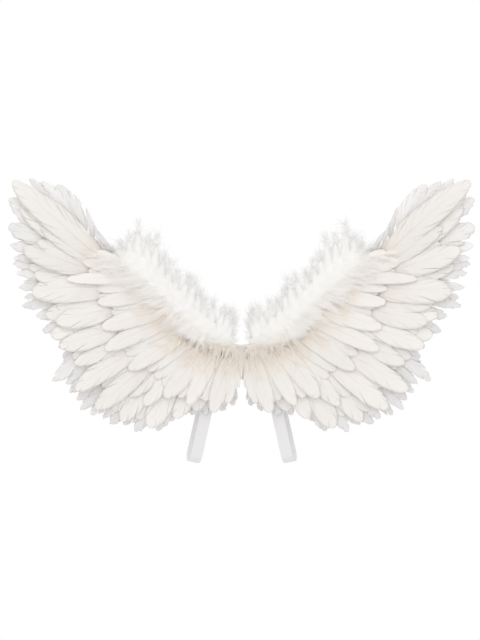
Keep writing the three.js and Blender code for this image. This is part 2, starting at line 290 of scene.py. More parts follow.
# The stage: the floor and the key light, in metres
FLOOR_RADIUS = 3
FLOOR_UP = -1
KEY_PLACE = (-0.5, -1.7, 2.3)
KEY_AIM = (0, 0, 0.03)
KEY_SIZE = 1.0
KEY_POWER = 9

# The camera: its lens and sensor in mm, and the picture's height and middle in metres
LENS = 100
SENSOR = 36
PICTURE_HEIGHT = 0.837
PICTURE_MIDDLE = (-0.0022, -0.025, 0.0357)


def smoothstep(value, low, high):
    share = np.clip((value - low) / (high - low), 0, 1)
    return share * share * (3 - 2 * share)


def curve_through(points, per_span=40):
    """A centripetal Catmull-Rom line through the points, as close samples."""
    points = np.asarray(points, float)
    padded = np.vstack([2 * points[0] - points[1], points, 2 * points[-1] - points[-2]])
    share = np.linspace(0, 1, per_span, endpoint=False)[:, None]
    samples = []
    for before, start, end, after in zip(padded, padded[1:], padded[2:], padded[3:]):
        first = np.linalg.norm(start - before) ** 0.5
        span = np.linalg.norm(end - start) ** 0.5
        last = np.linalg.norm(after - end) ** 0.5
        leave = (start - before) / first - (end - before) / (first + span) + (end - start) / span
        arrive = (end - start) / span - (after - start) / (span + last) + (after - end) / last
        leave = leave * span
        arrive = arrive * span
        square = -3 * start + 3 * end - 2 * leave - arrive
        cube = 2 * start - 2 * end + leave + arrive
        samples.append(start + leave * share + square * share**2 + cube * share**3)
    return np.vstack([*samples, points[-1:]])


class Line:
    """A curve that is read by the share of its length."""

    def __init__(self, points):
        self.samples = curve_through(points)
        steps = np.linalg.norm(np.diff(self.samples, axis=0), axis=1)
        self.far = np.concatenate([[0], np.cumsum(steps)])
        self.length = self.far[-1]

    def at(self, share):
        far = np.asarray(share) * self.length
        return np.stack([np.interp(far, self.far, column) for column in self.samples.T], axis=-1)

    def way(self, share):
        step = 0.002
        ahead = self.at(np.minimum(np.asarray(share) + step, 1))
        behind = self.at(np.maximum(np.asarray(share) - step, 0))
        return unit(ahead - behind)

    def share_out(self, out):
        """The share of the length at a distance out from the middle."""
        return np.interp(out, self.samples[:, 0], self.far) / self.length


def unit(vectors):
    length = np.linalg.norm(vectors, axis=-1, keepdims=True)
    return vectors / np.maximum(length, 1e-9)


def left_of(way):
    """The way a quarter turn to the left of a way on the wing."""
    return np.stack([-way[..., 1], way[..., 0]], axis=-1)


def place(side, out, up, depth):
    """Points in the row frame, in metres, from a wing's distance out, up and depth to the front."""
    out, up, depth = np.broadcast_arrays(out, up, depth)
    sweep = TIP_SWEEP * (out / HALF_SPAN) ** 2
    return np.stack([side * out, -depth - sweep, up], axis=-1) * MM


def place_all(side, points):
    """Points in the row frame from (out, up, depth)."""
    return place(side, points[..., 0], points[..., 1], points[..., 2])


def with_depth(foot, depth):
    """(out, up, depth) from places on the wing and their depths."""
    return np.concatenate([foot, depth[..., None]], axis=-1)


def grid_cells(ids):
    """The faces between the rows and columns of a grid of point numbers."""
    corners = [ids[:-1, :-1], ids[1:, :-1], ids[1:, 1:], ids[:-1, 1:]]
    return np.stack(corners, axis=-1).reshape(-1, 4)


def ring_bands(ids):
    """The faces between rings of point numbers that follow each other."""
    after = np.roll(ids, -1, axis=1)
    return np.stack([ids[:-1], after[:-1], after[1:], ids[1:]], axis=-1).reshape(-1, 4)


class Mesh:
    """Collects the points and faces of one piece, with a UV and a tint for each point.
    A tint is brightness, which holds painted light by height on feathers, the share of a warm colour
    that paints shade toward roots and on the veil, and the share of shaft colour."""

    def __init__(self):
        self.points = []
        self.uvs = []
        self.tints = []
        self.faces = []
        self.smooth = []
        self.count = 0

    def add_points(self, points, uv, tint):
        points = np.asarray(points).reshape(-1, 3)
        first = self.count
        self.points.append(points)
        self.uvs.append(np.broadcast_to(np.asarray(uv).reshape(-1, 2), (len(points), 2)))
        self.tints.append(np.broadcast_to(np.asarray(tint).reshape(-1, 3), (len(points), 3)))
        self.count += len(points)
        return first

    def add_faces(self, faces, flip=False, smooth=True):
        faces = np.asarray(faces)
        faces = faces.reshape(-1, faces.shape[-1])
        if flip:
            faces = faces[:, ::-1]
        self.faces.extend(faces.tolist())
        self.smooth.extend([smooth] * len(faces))

    def add_grid(self, points, uv, tint):
        """Adds a grid of points and gives their numbers."""
        first = self.add_points(points, uv, tint)
        return first + np.arange(points[..., 0].size).reshape(points.shape[:-1])

    def plate(self, front, back, uv, tint, flip):
        """A thin closed plate between two grids of points."""
        faces = grid_cells(np.arange(front[..., 0].size).reshape(front.shape[:-1]))
        self.closed_sheet(front, back, uv, tint, faces[:, ::-1] if flip else faces)

    def closed_sheet(self, front, back, uv, tint, faces):
        """A thin closed body from one open sheet of faces, given at its front and at its back."""
        first = self.add_points(front, uv, tint)
        second = self.add_points(back, uv, tint)
        self.add_faces(faces + first)
        self.add_faces(faces + second, flip=True)
        edges = np.stack([faces, np.roll(faces, -1, axis=1)], axis=-1).reshape(-1, 2)
        keys = np.sort(edges, axis=1)
        _, where, counts = np.unique(keys, axis=0, return_index=True, return_counts=True)
        rim = edges[where[counts == 1]]
        start, end = rim[:, 0], rim[:, 1]
        walls = np.stack([end + first, start + first, start + second, end + second], axis=-1)
        self.add_faces(walls, smooth=False)

    def tubes(self, lines, radii, sides, uv, tint, turn=0.0):
        """Closed tapering tubes along lines of points, each ending in a point. The uv and the tint are
        given for each point of the lines."""
        count, steps = lines.shape[:2]
        way = unit(np.gradient(lines, axis=1))
        upright = np.array([0.0, -1.0, 0.0])
        across = unit(np.cross(way, upright + 0.3 * way[..., ::-1]))
        outward = np.cross(across, way)
        angle = turn + 2 * math.pi * np.arange(sides) / sides
        ring = across[:, :-1, None] * np.cos(angle)[:, None]
        ring = ring + outward[:, :-1, None] * np.sin(angle)[:, None]
        rings = lines[:, :-1, None] + ring * radii[:, :-1, None, None]
        per_line = (steps - 1) * sides + 1
        points = np.concatenate([rings.reshape(count, -1, 3), lines[:, -1:]], axis=1)
        uvs = np.concatenate([np.repeat(uv[:, :-1], sides, axis=1), uv[:, -1:]], axis=1)
        tints = np.concatenate([np.repeat(tint[:, :-1], sides, axis=1), tint[:, -1:]], axis=1)
        first = self.add_points(points, uvs, tints)
        starts = first + per_line * np.arange(count)[:, None, None]
        ids = np.arange((steps - 1) * sides).reshape(steps - 1, sides)
        smooth = sides > 3
        self.add_faces(starts + ring_bands(ids)[None], smooth=smooth)
        tip = np.stack([ids[-1], np.roll(ids[-1], -1), np.full(sides, per_line - 1)], axis=-1)
        self.add_faces(starts + tip[None], smooth=smooth)
        self.add_faces((starts[:, :, 0] + ids[0, ::-1][None])[:, None], smooth=False)

    def piece(self, name, material):
        mesh = bpy.data.meshes.new(name)
        mesh.from_pydata(np.concatenate(self.points), [], self.faces)
        mesh.polygons.foreach_set("use_smooth", self.smooth)
        corners = np.zeros(len(mesh.loops), np.int32)
        mesh.loops.foreach_get("vertex_index", corners)
        layer = mesh.uv_layers.new(name="UVMap")
        layer.data.foreach_set("uv", np.concatenate(self.uvs)[corners].astype(np.float32).ravel())
        tints = np.concatenate(self.tints)
        colours = np.concatenate([tints, np.ones((len(tints), 1))], axis=1)
        attribute = mesh.attributes.new("tint", "FLOAT_COLOR", "POINT")
        attribute.data.foreach_set("color", colours.astype(np.float32).ravel())
        mesh.materials.append(material)
        mesh.update()
        obj = bpy.data.objects.new(name, mesh)
        bpy.context.scene.collection.objects.link(obj)
        return obj


class Feather:
    """The form of one feather: where its shaft runs and how its vane lies."""

    def __init__(self, side, row, look, root, tip, width, lift, rng):
        self.side = side
        self.row = row
        self.look = look
        self.root = root
        shaft = np.array(tip, float) - root
        self.length = np.linalg.norm(shaft)
        self.way = shaft / self.length
        self.across = np.array([self.way[1], -self.way[0]])
        spike = row["level"] == 0 and width <= SPIKE_WIDTH
        self.half = width / 2 * (SPIKE_SLIM if spike else look["wide"])
        self.twist = rng.normal(0, look["twist"])
        self.lean = rng.normal(0.1, 0.04)
        self.bend = rng.normal(-0.022, 0.014) * self.length
        self.slope = VANE_ROLL * np.clip(2 * (self.way[0] - 0.4), -1, 1) + rng.normal(0, 0.008)
        self.lift = lift + rng.normal(0, 0.15)
        self.outline = SPIKE_OUTLINE if spike else look["outline"]
        # The gain by the tip's height is painted light from above: under and covert feathers get lighter
        # the higher their tips lie, the upper flights a little darker
        pale = 0 if spike else look["pale"]
        self.tone = rng.uniform(*look["tone"]) + pale * smoothstep(tip[1], 40, 160)
        self.streak = rng.uniform(0, 500)

    def points(self, share, offset, lift):
        """Points on the wing from shares of the shaft, offsets across it and a lift to the front."""
        sideways = offset + self.bend * 4 * share * (1 - share)
        out = self.root[0] + self.way[0] * self.length * share + self.across[0] * sideways
        up = self.root[1] + self.way[1] * self.length * share + self.across[1] * sideways
        arch = np.sin(math.pi * np.clip(share, 0, 1))
        rise = self.row["level"] * ROW_STEP * smoothstep(share * self.length, 0, self.row["rise"])
        drop = self.look["camber"] * arch * (offset / self.half) ** 2 * min(self.half / 14, 1)
        slope = self.slope + self.twist * np.clip(share, 0, 1) ** 3
        droop = TIP_DROOP * smoothstep(share, 0.5, 1)
        depth = ROOT_DEPTH + rise + VANE_ARCH * arch + slope * offset - drop - droop + self.lift
        return place(self.side, out, up, depth + lift)

    def warm_shade(self, share):
        # Painted warm shade toward the root, where the feathers overlap; it is gone by about a third of
        # the shaft
        return self.look["root_shade"] * (1 - smoothstep(share, 0.05, 0.36))


def vane_outline(share, powers):
    """Half widths along a vane, as shares of the largest."""
    root, tip, point = powers
    fine = np.linspace(0, 1, 200)
    widest = np.max(fine**root * (1 - fine**tip) ** point)
    return share**root * (1 - share**tip) ** point / widest


class Vane:
    """The vane of one feather as a single thin closed sheet, notched at its edges."""

    def __init__(self, feather, rng):
        self.feather = feather
        self.rng = rng
        look = feather.look
        count = max(8, int(feather.length / look["barb_step"]))
        left = np.linspace(1, 0, count + 1)
        self.ends = 1 - (1 - VANE_START) * left**1.4
        self.halves = np.maximum(feather.half * vane_outline(self.ends, feather.outline), 0.5)
        self.starts = np.maximum(self.ends - BARB_SLANT * self.halves / feather.length, 0.02)
        self.points = []
        self.faces = []
        self.count = 0
        self.shaft = self.add(self.starts, 0, 0, 0, self.ends)
        self.side(1)
        self.side(-1)

    def add(self, along, offset, lift, far, ends):
        """Adds points to the sheet and gives their numbers."""
        barb = ends * self.feather.length + self.feather.streak
        self.points.append(np.stack(np.broadcast_arrays(along, offset, lift, far, barb), axis=-1))
        ids = self.count + np.arange(len(along))
        self.count += len(along)
        return ids

    def clump(self, hand, rows, before, shared):
        """Barbs that cling together, on one side of the shaft. The first ones share their inner points
        with the clump before."""
        look = self.feather.look
        rng = self.rng
        starts = self.starts[rows, None]
        ends = self.ends[rows, None]
        halves = self.halves[rows, None]
        within = np.linspace(-1, 1, len(starts))[:, None]
        far = np.linspace(0, 1, ACROSS + 1)[None, 1:]
        free = np.clip((far - shared / ACROSS) / (1 - shared / ACROSS), 0, 1) ** 1.2
        ragged = look["ragged"]
        loss = rng.normal(0, ragged / 2) - ragged * rng.uniform(0.2, 1) * within**2
        loss = loss + rng.normal(0, ragged / 4, within.shape)
        torn = rng.uniform() < look["torn"]
        gap = (rng.uniform(*look["split"]) if torn else 0.05) / self.feather.length
        along = starts + (ends - starts) * far**1.1 - within * gap / 2 * free
        offset = hand * halves * (1 + hand * self.feather.lean) * (1 + loss * free) * far**0.88
        lift = rng.normal(0, look["curl"]) * free
        ids = np.zeros(along.shape, int)
        new = np.ones(along.shape, bool)
        if before is not None:
            new[0, :shared] = False
            ids[0, :shared] = before[-1, 1 : shared + 1]
        columns = np.broadcast_arrays(along, offset, lift, far, ends)
        ids[new] = self.add(*(column[new] for column in columns))
        grid = np.column_stack([self.shaft[rows], ids])
        cells = grid_cells(grid)
        self.faces.append(cells[:, ::-1] if hand * self.feather.side > 0 else cells)
        return grid

    def side(self, hand):
        count = len(self.ends) - 1
        least, most, shared = self.feather.look["clump"]
        first = 0
        before = None
        while first < count:
            last = first + self.rng.integers(least, most + 1)
            if count - last < 2:
                last = count
            before = self.clump(hand, np.arange(first, last + 1), before, shared)
            first = last

    def add_to(self, mesh):
        feather = self.feather
        along, offset, lift, far, barb = np.concatenate(self.points).T
        tone = np.full_like(along, feather.tone)
        tint = np.stack([tone, feather.warm_shade(along), np.zeros_like(along)], axis=-1)
        mesh.closed_sheet(
            feather.points(along, offset, lift + VANE_THICKNESS / 2),
            feather.points(along, offset, lift - VANE_THICKNESS / 2),
            np.stack([far, barb], axis=-1),
            tint,
            np.concatenate(self.faces),
        )


def add_shaft(mesh, feather):
    share = np.linspace(0, SHAFT_END, SHAFT_STEPS + 1)
    line = feather.points(share, np.zeros_like(share), SHAFT_LIFT)[None]
    thick = min(1.0, feather.half / 12)
    radii = (SHAFT_TAPER * (1 - share) + SHAFT_TIP)[None] * thick * MM
    uv = np.stack([np.zeros_like(share), share], axis=-1)[None]
    tint = np.stack([np.full_like(share, feather.tone), feather.warm_shade(share), 1 - 0.85 * share], axis=-1)
    mesh.tubes(line, radii, SHAFT_SIDES, uv, tint[None])


def add_down(mesh, feather, rng):
    """Loose barbs at the foot of a vane."""
    count = int(feather.look["down"] * feather.half)
    if count == 0:
        return
    share = rng.uniform(0.06, 0.42, (count, 1))
    hand = rng.choice([-1, 1], (count, 1))
    reach = rng.uniform(0.5, 1.15, (count, 1)) * feather.half
    far = np.linspace(0, 1, 3)[None]
    offset = hand * reach * far**0.8
    along = share + reach * rng.uniform(0.9, 1.8, (count, 1)) / feather.length * far
    lift = 0.2 + rng.uniform(0.2, 2.2, (count, 1)) * far
    add_strands(mesh, feather.points(along, offset, lift), DOWN_RADIUS, DOWN_TONE, DOWN_ROOT_SHADE, rng)


def add_strands(mesh, lines, radius, tone, warm_shade, rng):
    """Strands along lines of points, with half their radius and no painted warm shade at the tips; that
    shade is strongest at the roots.
    """
    count, steps = lines.shape[:2]
    share = np.broadcast_to(np.linspace(0, 1, steps), (count, steps))
    uv = np.stack([share, np.broadcast_to(rng.uniform(0, 90, (count, 1)), share.shape)], axis=-1)
    tones = tone * (1 - np.abs(rng.normal(0, 0.01, (count, 1)))) * np.ones_like(share)
    tint = np.stack([tones, warm_shade * (1 - share), np.zeros_like(share)], axis=-1)
    mesh.tubes(lines, radius * MM * (1 - 0.5 * share), 3, uv, tint, turn=math.pi / 6)


def add_tape(mesh, side, line):
    """The strip that the quills of one row are sewn to."""
    share = np.linspace(0, 1, 49)
    centre = line.at(share)
    across = left_of(line.way(share))
    offset = np.linspace(-TAPE_WIDTH / 2, TAPE_WIDTH / 2, 4)
    foot = centre[:, None] + across[:, None] * offset[None, :, None]
    front = place(side, foot[..., 0], foot[..., 1], TAPE_FRONT)
    back = place(side, foot[..., 0], foot[..., 1], TAPE_REAR)
    uv = np.stack(np.broadcast_arrays(offset[None], (share * line.length)[:, None]), axis=-1)
    mesh.plate(front, back, uv, TAPE_TINT, flip=side < 0)


def row_feathers(row, look, line, rng):
    """Root, tip, width and lift of each feather, with shorter ones tucked in where the row has them."""
    def read(table):
        return [(line.at(at / 100), np.array([out, up], float), width) for at, out, up, width in table]

    listed = read(row["feathers"])
    feathers = []
    for (root, tip, width), (next_root, next_tip, next_width) in zip(listed, listed[1:]):
        if rng.uniform() < look["fill"]:
            middle = (root + next_root) / 2
            reach = rng.uniform(*TUCKED_REACH)
            end = middle + ((tip + next_tip) / 2 - middle) * reach + rng.normal(0, 2, 2)
            narrow = (width + next_width) / 2 * rng.uniform(*TUCKED_WIDTH)
            feathers.append((middle, end, narrow, TUCKED_LIFT))
    for root, tip, width in read(look["extra"]):
        feathers.append((root, tip, width, EXTRA_LIFT))
    for i, (root, tip, width) in enumerate(listed):
        behind = i in look["behind"]
        end = root + (tip - root) * (BEHIND_REACH if behind else 1)
        feathers.append((root, end, width, BEHIND_LIFT if behind else 0.0))
    return feathers


def add_inner_down(mesh, side, rng):
    """Tufts of loose barbs that come out from under the bow over the quills next to the middle."""
    def each(values):
        return np.repeat(values, BARBS_PER_TUFT)

    at = each(FIRST_TUFT + TUFT_SPREAD * rng.uniform(0, 1, TUFTS) ** 2.1)
    count = len(at)
    point, _ = bow_frame(at)
    out = np.maximum(at + rng.normal(0, 0.35, count), LEAST_OUT)
    away = smoothstep(at, 3, 10)
    depth = RIBBON_FRONT + (rng.uniform(18.5, 20, count) - RIBBON_FRONT) * away
    below = rng.uniform(1, 4 + 3 * away)
    way = covert_way(at + 6)
    start = np.column_stack([out, point[:, 1] - below, depth])
    start[:, :2] += way * (UNDER_BODY * smoothstep(at, 26, 60))[:, None]
    lean = each(rng.normal(0, 0.36, TUFTS)) * smoothstep(at, 0, 6)
    longer = 1.9 - 0.9 * smoothstep(at, 1.5, 8)
    fall = each(12 + 34 * rng.uniform(0, 1, TUFTS) ** 1.8) * longer
    fall = np.minimum(fall, LONGEST_TUFT) * rng.uniform(0.6, 1, count)
    foot = start[:, :2] + unit(way + left_of(way) * lean[:, None]) * fall[:, None]
    foot = foot + rng.normal(0, 0.6, (count, 2))
    front = each(rng.normal(TUFT_FRONT, 0.4, TUFTS)) + 1.6 * smoothstep(at, 20, 55)
    front = front + rng.normal(0, 0.2, count)
    end = np.column_stack([np.maximum(foot[:, 0], LEAST_OUT), foot[:, 1], front])
    bow = rng.normal([0, 0, 1.9], [0.2, 0.4, 0.4], start.shape)
    bow[:, 2] += 6.5 * (1 - away)
    lines = place_all(side, hairs(start, end, bow, TUFT_POINTS))
    add_strands(mesh, lines, TUFT_RADIUS, DOWN_TONE, TUFT_ROOT_SHADE, rng)


def feather_row(side_name, row_name, material, rng):
    side = SIDES[side_name]
    row = ROWS[row_name]
    look = LOOKS[row_name]
    line = Line(row["root_line"])
    mesh = Mesh()
    add_tape(mesh, side, line)
    for root, tip, width, lift in row_feathers(row, look, line, rng):
        feather = Feather(side, row, look, root, tip, width, lift, rng)
        Vane(feather, rng).add_to(mesh)
        add_shaft(mesh, feather)
        add_down(mesh, feather, rng)
    if row_name == "covert_feathers":
        add_inner_down(mesh, side, rng)
    return mesh.piece(f"{side_name}_{row_name}_plumage", material)


BOW = Line(BOW_LINE)


def bow_frame(out):
    """The bow's point and the way up from it, at distances out from the middle."""
    share = BOW.share_out(out)
    return BOW.at(share), left_of(BOW.way(share))


class Trim:
    """The outer form of the marabou, read by the place on the bow and round the section."""

    def __init__(self):
        self.sections = np.array(MARABOU_SECTIONS, float)
        profile = np.array(MARABOU_PROFILE, float)
        closed = np.vstack([profile[-2:], profile, profile[:3]])
        smooth = curve_through(closed * PROFILE_SCALE, PROFILE_STEPS) / PROFILE_SCALE
        self.round = smooth[2 * PROFILE_STEPS : -2 * PROFILE_STEPS - 1]

    def form(self, out, round_share):
        """(out, up, depth) on the surface, at places on the bow and shares round the section."""
        point, normal = bow_frame(out)
        crest = [np.interp(out, self.sections[:, 0], self.sections[:, k]) for k in (1, 2)]
        crest = np.stack(crest, axis=-1)
        seat = point + normal * MARABOU_SEAT
        overhang = MARABOU_OVERHANG * (0.35 + 0.65 * smoothstep(out, 16, 60))
        below = point - normal * overhang[..., None]
        where = np.asarray(round_share) % 1 * len(self.round)
        places = np.arange(len(self.round) + 1)
        reach, depth = (np.interp(where, places, [*column, column[0]]) for column in self.round.T)
        thin = smoothstep(out, 6, 40) * 0.5 + 0.5
        depth = MARABOU_DEPTH + (depth - MARABOU_DEPTH) * thin
        reach = reach[..., None]
        foot = seat + np.where(reach < 0, seat - below, crest - seat) * reach
        return with_depth(foot, depth)

    def centre(self, out):
        rounds = np.linspace(0, 1, 16, endpoint=False)
        return np.mean([self.form(out, np.full_like(out, share)) for share in rounds], axis=0)


def add_marabou_core(mesh, trim, side, rng):
    """The soft body under the loose strands."""
    out = np.linspace(TRIM_INNER + 1, TRIM_OUTER - 1, 76)
    rounds = np.linspace(0, 1, 32, endpoint=False)
    outs, shares = np.meshgrid(out, rounds, indexing="ij")
    surface = trim.form(outs, shares)
    middle = trim.centre(out)[:, None]
    waves = 0.05 * np.sin(outs * 0.55 + 3 * np.sin(shares * 12))
    lumps = CORE_SHARE + waves + rng.normal(0, 0.012, outs.shape)
    ends = np.sqrt(np.clip(np.minimum(outs - TRIM_INNER, TRIM_OUTER - outs) / 9, 0.02, 1))
    rings = place_all(side, middle + (surface - middle) * (lumps * ends)[..., None])
    ids = mesh.add_grid(rings, [0, 0], [BODY_TONE, BODY_CREAM, 0])
    for faces in (ring_bands(ids), ids[:1, ::-1], ids[-1:]):
        mesh.add_faces(faces, flip=side > 0)


def covert_way(out):
    """The way that the front feathers lie, near places on the bow."""
    row = ROWS["covert_feathers"]
    listed = np.array(row["feathers"], float)
    roots = Line(row["root_line"]).at(listed[:, 0] / 100)
    ways = unit(listed[:, 1:3] - roots)
    order = np.argsort(roots[:, 0])
    near = [np.interp(out - 12, roots[order, 0], ways[order, k]) for k in (0, 1)]
    return unit(np.stack(near, axis=-1))


def hairs(start, end, bow, points):
    """Bent lines from the starts to the ends."""
    share = np.linspace(0, 1, points)[None, :, None]
    return start[:, None] * (1 - share) + end[:, None] * share + bow[:, None] * 4 * share * (1 - share)


def combed_hair(trim, rng):
    """Hair on the body, brushed up to the crest above the bow and out over the quills below it."""
    out = rng.uniform(TRIM_INNER, TRIM_OUTER, COMBED_HAIRS)
    front = rng.uniform(size=COMBED_HAIRS) < 0.75
    front_share = rng.uniform(0.42, 1.03, COMBED_HAIRS)
    share = np.where(front, front_share, rng.uniform(0.2, 0.42, COMBED_HAIRS))
    surface = trim.form(out, share)
    middle = trim.centre(out)
    normal = unit(surface - middle)
    point, up = bow_frame(out)
    height = np.sum((surface[:, :2] - point) * up, axis=1)
    wave = 0.5 * np.sin(out * 0.42 + share * 9) + 0.3 * np.sin(out * 1.1 - share * 14)
    along = -left_of(up)
    inner = 1 - smoothstep(out, 14, 55)[:, None]
    flat = np.maximum(inner, 0.8 * (1 - smoothstep(height, 6, 30)[:, None]))
    rising = up * (1 - 0.6 * flat) + along * (wave[:, None] * (1 - flat) + 1.3 * flat)
    hanging = covert_way(out) * (1 - inner) + along * inner
    above = smoothstep(height, -3, 9)[:, None]
    comb = rising * above + hanging * (1 - above)
    comb = np.hstack([unit(comb), np.zeros((COMBED_HAIRS, 1))]) + rng.normal(0, 0.16, surface.shape)
    comb = unit(comb - normal * np.sum(comb * normal, axis=1, keepdims=True))
    start = middle + (surface - middle) * HAIR_ROOT
    reach = rng.uniform(7, 16, (COMBED_HAIRS, 1)) * (1 + 0.7 * (1 - above))
    end = start + reach * (comb + normal * rng.uniform(0.12, 0.3, reach.shape))
    return hairs(start, end, normal * reach * 0.06 + rng.normal(0, 0.3, surface.shape), 3)


class Locks:
    """The locks that stand up from the crest, each as a tapering body along its own shaft."""

    def __init__(self):
        listed = np.array(MARABOU_LOCKS, float)
        point, normal = bow_frame(listed[:, 0])
        self.root = point + normal * LOCK_ROOT
        shaft = listed[:, 1:] - self.root
        self.reach = np.linalg.norm(shaft, axis=1)
        self.way = shaft / self.reach[:, None]
        self.across = left_of(self.way)
        self.girth = np.minimum(LOCK_RADIUS, self.reach * LOCK_GIRTH)

    def radius(self, which, share):
        return self.girth[which] * (1 - LOCK_TAPER * share)

    def points(self, which, share, sideways, depth):
        """Points from places along a lock, across it and in depth."""
        along = (self.reach[which] * share)[..., None] * self.way[which]
        foot = self.root[which] + along + self.across[which] * sideways[..., None]
        return with_depth(foot, LOCK_DEPTH + depth)

    def add_cores(self, mesh, side):
        share = np.linspace(0, 0.8, 7)
        which = np.arange(len(self.reach))[:, None] * np.ones(7, int)
        shares = np.broadcast_to(share, which.shape)
        lines = self.points(which, shares, np.zeros(which.shape), np.zeros(which.shape))
        uv = np.zeros((*which.shape, 2))
        tint = np.broadcast_to([BODY_TONE, BODY_CREAM, 0], (*which.shape, 3))
        mesh.tubes(place_all(side, lines), self.radius(which, shares) * MM, 12, uv, tint)

    def coat(self, rng):
        """Hair all over the locks, brushed to their tips."""
        chance = self.reach / self.reach.sum()
        which = rng.choice(len(self.reach), LOCK_HAIRS, p=chance)
        share = rng.uniform(0, 1, LOCK_HAIRS) ** 0.8
        angle = rng.uniform(0, 2 * math.pi, LOCK_HAIRS)
        girth = self.radius(which, share)
        start = self.points(which, share, 0.9 * girth * np.cos(angle), 0.9 * girth * np.sin(angle))
        reach = rng.uniform(6, 15, LOCK_HAIRS) * (1 - 0.5 * share)
        spread = girth + reach * rng.uniform(0.2, 0.75, LOCK_HAIRS)
        farther = share + reach / self.reach[which]
        end = self.points(which, farther, spread * np.cos(angle), spread * np.sin(angle))
        end = end + rng.normal(0, 0.8, end.shape)
        return hairs(start, end, rng.normal(0, 0.05, start.shape) * reach[:, None], 3)

    def wisps(self, rng):
        """Tufts of fine hair that leave the locks near their tips and curl apart."""
        tufts = []
        for i, reach in enumerate(self.reach):
            for _ in range(int(5 + reach * 0.2)):
                fan = rng.normal(0, 0.7)
                far = rng.uniform(8, 17)
                share = rng.uniform(0.5, 0.92, 1)
                sideways = rng.normal(0, 2.5, 1)
                low = self.points(np.array([i]), share, sideways, rng.normal(0, 4, 1))
                lean = self.way[i] * math.cos(fan) + self.across[i] * math.sin(fan)
                high = low + np.array([*lean, rng.normal(0, 0.3)]) * far
                scatter = rng.normal(0, 1.0, (HAIRS_PER_WISP, 3))
                short = rng.uniform(0, 0.45, (HAIRS_PER_WISP, 1))
                end = high + (low - high) * short + rng.normal(0, 2.2, scatter.shape)
                bow = (rng.normal(0, 0.12, 3) + rng.normal(0, 0.08, scatter.shape)) * far
                tufts.append((low + scatter, end, bow))
        starts, ends, bows = (np.concatenate(part) for part in zip(*tufts))
        return hairs(starts, ends, bows, 4)

    def strays(self, rng):
        """Single curling hairs that stand clear of the locks' tips."""
        which = np.repeat(np.arange(len(self.reach)), STRAYS_PER_LOCK)
        count = len(which)
        share = rng.uniform(0.55, 0.95, count)
        girth = self.radius(which, share)
        sideways = girth * rng.uniform(-1, 1, count)
        start = self.points(which, share, sideways, girth * rng.uniform(-1, 1, count))
        fan = rng.normal(0, 0.75, (count, 1))
        lean = self.way[which] * np.cos(fan) + self.across[which] * np.sin(fan)
        far = rng.uniform(8, 18, (count, 1))
        end = start + np.column_stack([lean, rng.normal(0, 0.3, count)]) * far
        return hairs(start, end, rng.normal(0, 0.16, start.shape) * far, 5)


def inner_curls(rng):
    """Single curling hairs that stand in from the body's inner end, next to the middle."""
    out = rng.uniform(7, 15, INNER_CURLS)
    point, _ = bow_frame(out)
    height = rng.uniform(2, 30, INNER_CURLS)
    start = np.column_stack([out, point[:, 1] + height, rng.uniform(9, 16, INNER_CURLS)])
    way = unit(rng.normal([-0.45, 0.75, 0], [0.4, 0.4, 0.3], start.shape))
    far = rng.uniform(5, 11, (INNER_CURLS, 1))
    end = start + way * far
    end[:, 0] = np.maximum(end[:, 0], rng.uniform(1, 5, INNER_CURLS))
    return hairs(start, end, rng.normal(0, 0.2, start.shape) * far, 5)


def on_veil(out, share):
    """Places on the down that hangs from the bow over the quills, from shares of its fall."""
    point, _ = bow_frame(out)
    fade = 0.55 + 0.45 * smoothstep(out, 4, 45) * (1 - 0.4 * smoothstep(out, 140, 168))
    length = VEIL_LENGTH * fade * (0.6 + 0.4 * smoothstep(out, 30, 100))
    foot = point + covert_way(out) * (length * share)[..., None]
    return with_depth(foot, MARABOU_DEPTH + (VEIL_FRONT - VEIL_FALL * share) * fade)


def add_veil(mesh, side, rng):
    """The soft sheet under the streaks of down below the bow, with a ragged lower edge."""
    out = np.linspace(*VEIL_ENDS, 108)
    outs, shares = np.meshgrid(out, np.linspace(-0.1, 1, 8), indexing="ij")
    ragged = 0.12 * np.sin(outs * 1.1) + rng.normal(0, 0.1, (len(outs), 1))
    front = on_veil(outs, shares * (1 + ragged))
    back = front.copy()
    back[..., 2] -= 0.4 + 2.5 * (1 - shares) ** 2
    # The veil is tinted with painted warm shade all over
    tint = [BODY_TONE, VEIL_WARM_SHADE, 0]
    mesh.plate(place_all(side, front), place_all(side, back), [0, 0], tint, flip=side > 0)


def fringe_hair(rng):
    """Loose plumes of fine barbs that come out from under the body and lie over the quills in front."""
    def each(values):
        return np.repeat(values, BARBS_PER_PLUME)

    at = each(rng.uniform(*FRINGE_ENDS, FRINGE_PLUMES))
    count = len(at)
    fade = 0.7 + 0.3 * smoothstep(at, 14, 50)
    length = each(rng.uniform(16, 44, FRINGE_PLUMES)) * fade * (0.25 + 0.75 * smoothstep(at, 30, 100))
    way = covert_way(at)
    across = left_of(way)
    way = unit(way + across * each(rng.normal(0, 0.17, FRINGE_PLUMES))[:, None])
    across = left_of(way)
    share = rng.uniform(-0.2, 0.75, count)
    lean = rng.uniform(0.05, 0.45, count) * rng.choice([-1, 1], count)
    reach = rng.uniform(8, 17, count) * fade
    foot, _ = bow_frame(at)
    begin = foot + way * (length * share)[:, None]
    end = begin + (way * np.cos(lean)[:, None] + across * np.sin(lean)[:, None]) * reach[:, None]
    front = FRINGE_FRONT + each(rng.uniform(-0.6, 0.6, FRINGE_PLUMES))
    low = front - 1.3 * np.clip(share, 0, 1)
    high = low + rng.uniform(-0.6, 0.8, count)
    flatten = 0.6 + 0.4 * fade
    start = np.column_stack([begin, MARABOU_DEPTH + (low - MARABOU_DEPTH) * flatten])
    finish = np.column_stack([end, MARABOU_DEPTH + (high - MARABOU_DEPTH) * flatten])
    return hairs(start, finish, rng.normal(0, 0.5, start.shape), 3)


